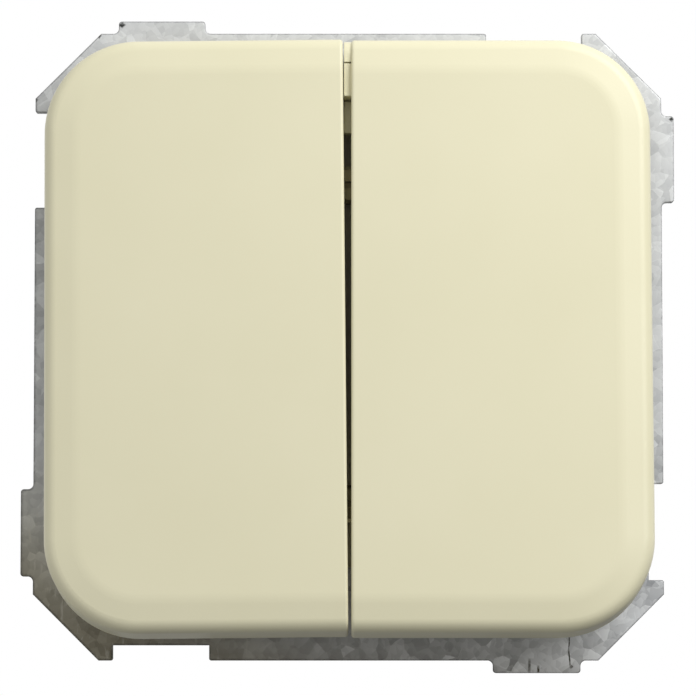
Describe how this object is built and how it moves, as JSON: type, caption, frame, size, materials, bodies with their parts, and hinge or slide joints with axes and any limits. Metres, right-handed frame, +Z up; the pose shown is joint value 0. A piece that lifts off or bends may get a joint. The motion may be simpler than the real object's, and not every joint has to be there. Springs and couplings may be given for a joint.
{
  "type": "double light switch",
  "caption": "Flush double light switch: rocking half keys on an interlocking steel support frame, with sprung see-saw contacts and screw terminals behind.",
  "frame": {"origin": "middle of the support frame's rear face, the face that lies on the wall", "axes": "+X right as seen from the room, +Y into the wall, +Z up"},
  "size_m": [0.0736, 0.033, 0.0736],
  "materials": {
    "galvanised_steel": "hot-dip galvanised sheet with a faint spangle, sheared edges",
    "grey_moulding": "moulded thermoset, slightly mottled",
    "ivory_moulding": "moulded, fine matt grain",
    "ivory_key": "moulded, satin gloss",
    "white_nylon": "moulded, waxy",
    "spring_steel": "drawn wire",
    "contact_brass": "rolled strip",
    "silver_tip": "coined silver alloy",
    "terminal_brass": "sawn and drilled brass",
    "plated_screw": "zinc plated"
  },
  "bodies": {
    "mechanism": {"support_frame": "galvanised_steel", "base": "grey_moulding", "cradle": "ivory_moulding", "left_line_terminal": "terminal_brass", "right_line_terminal": "terminal_brass", "left_load_terminal": "terminal_brass", "right_load_terminal": "terminal_brass", "left_fixed_tip": "silver_tip", "right_fixed_tip": "silver_tip", "terminal_screws": "plated_screw", "cover_screws": "plated_screw"},
    "left_rocker": {"left_key": "ivory_key", "left_lever": "white_nylon", "left_spring": "spring_steel"},
    "right_rocker": {"right_key": "ivory_key", "right_lever": "white_nylon", "right_spring": "spring_steel"},
    "left_pin": {"left_plunger": "white_nylon"},
    "right_pin": {"right_plunger": "white_nylon"},
    "left_see_saw": {"left_contact_rocker": "contact_brass", "left_moving_tip": "silver_tip"},
    "right_see_saw": {"right_contact_rocker": "contact_brass", "right_moving_tip": "silver_tip"}
  },
  "joints": [
    {"name": "left_key_hinge", "type": "hinge", "parent": "mechanism", "child": "left_rocker", "pos_m": [-0.0108, -0.0005, 0], "axis": [1, 0, 0], "range_deg": [0, 9]},
    {"name": "right_key_hinge", "type": "hinge", "parent": "mechanism", "child": "right_rocker", "pos_m": [0.0108, -0.0005, 0], "axis": [1, 0, 0], "range_deg": [0, 9]},
    {"name": "left_contact_hinge", "type": "hinge", "parent": "mechanism", "child": "left_see_saw", "pos_m": [-0.0108, 0.012, 0], "axis": [1, 0, 0], "range_deg": [-14, 0]},
    {"name": "right_contact_hinge", "type": "hinge", "parent": "mechanism", "child": "right_see_saw", "pos_m": [0.0108, 0.012, 0], "axis": [1, 0, 0], "range_deg": [-14, 0]},
    {"name": "left_plunger_slide", "type": "slide", "parent": "left_rocker", "child": "left_pin", "axis": [0, -0.9969, 0.0785], "range_m": [0, 0.0008], "stiffness_N_per_m": 600, "springref_m": -0.004, "deforming": ["left_spring"]},
    {"name": "right_plunger_slide", "type": "slide", "parent": "right_rocker", "child": "right_pin", "axis": [0, -0.9969, 0.0785], "range_m": [0, 0.0008], "stiffness_N_per_m": 600, "springref_m": -0.004, "deforming": ["right_spring"]}
  ],
  "couplings": [
    {"joint": "left_contact_hinge", "follows": "left_key_hinge", "ratio": -1.5556},
    {"joint": "right_contact_hinge", "follows": "right_key_hinge", "ratio": -1.5556}
  ]
}
